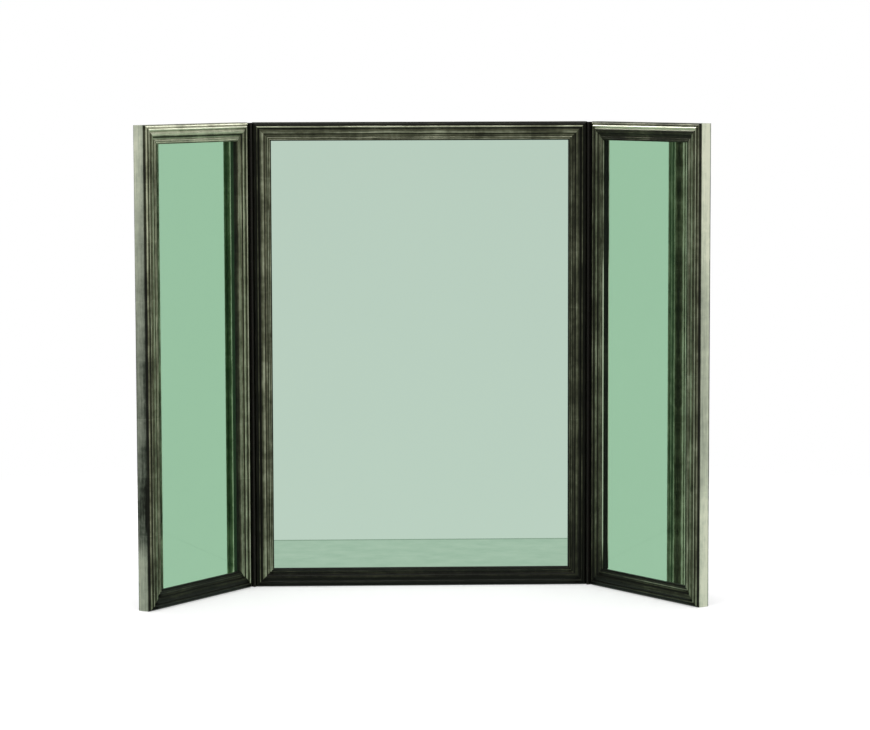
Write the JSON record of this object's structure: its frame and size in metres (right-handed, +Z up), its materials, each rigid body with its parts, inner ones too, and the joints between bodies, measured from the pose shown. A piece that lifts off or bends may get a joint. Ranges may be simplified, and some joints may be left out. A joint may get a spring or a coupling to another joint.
{
  "type": "trifold vanity mirror",
  "caption": "Free-standing three-panel dressing mirror in moulded, silver-leafed frames, with two wings that fold forward on continuous hinges.",
  "frame": {"origin": "under the centre panel, at the middle of its width and of its depth, on the surface that the mirror stands on", "axes": "+X to the user's right along the centre panel, +Y away from the user, +Z up"},
  "size_m": [0.839, 0.233, 0.711],
  "materials": {
    "leafed_wood": "aged silver leaf with an umber glaze over moulded hardwood",
    "mirror": "flat silvered float glass with a slight green tint",
    "batten": "planed softwood",
    "back_board": "dark painted fibreboard",
    "wood_screw": "aged brass",
    "corner_nail": "plain steel strip",
    "hinge_metal": "dark bronze, worn on the knuckles",
    "hinge_screw": "dark bronze, worn on the knuckles"
  },
  "bodies": {
    "centre": {"centre_back_panel": "back_board", "centre_back_screws": "wood_screw", "centre_backing_beads": "batten", "centre_bottom_rail": "leafed_wood", "centre_corner_nails": "corner_nail", "centre_left_stile": "leafed_wood", "centre_mirror_glass": "mirror", "centre_right_stile": "leafed_wood", "centre_top_rail": "leafed_wood", "left_hinge_centre_leaf": "hinge_metal", "left_hinge_centre_screws": "hinge_screw", "left_hinge_pin": "hinge_metal", "right_hinge_centre_leaf": "hinge_metal", "right_hinge_centre_screws": "hinge_screw", "right_hinge_pin": "hinge_metal"},
    "left_wing": {"left_hinge_wing_leaf": "hinge_metal", "left_hinge_wing_screws": "hinge_screw", "left_wing_back_panel": "back_board", "left_wing_back_screws": "wood_screw", "left_wing_backing_beads": "batten", "left_wing_bottom_rail": "leafed_wood", "left_wing_corner_nails": "corner_nail", "left_wing_hinge_stile": "leafed_wood", "left_wing_mirror_glass": "mirror", "left_wing_outer_stile": "leafed_wood", "left_wing_top_rail": "leafed_wood"},
    "right_wing": {"right_hinge_wing_leaf": "hinge_metal", "right_hinge_wing_screws": "hinge_screw", "right_wing_back_panel": "back_board", "right_wing_back_screws": "wood_screw", "right_wing_backing_beads": "batten", "right_wing_bottom_rail": "leafed_wood", "right_wing_corner_nails": "corner_nail", "right_wing_hinge_stile": "leafed_wood", "right_wing_mirror_glass": "mirror", "right_wing_outer_stile": "leafed_wood", "right_wing_top_rail": "leafed_wood"}
  },
  "joints": [
    {"name": "left_wing_hinge", "type": "hinge", "parent": "centre", "child": "left_wing", "pos_m": [-0.25605, -0.0125, 0], "axis": [0, 0, 1], "range_deg": [-55.7, 124.3]},
    {"name": "right_wing_hinge", "type": "hinge", "parent": "centre", "child": "right_wing", "pos_m": [0.25605, -0.0125, 0], "axis": [0, 0, -1], "range_deg": [-56, 124]}
  ]
}
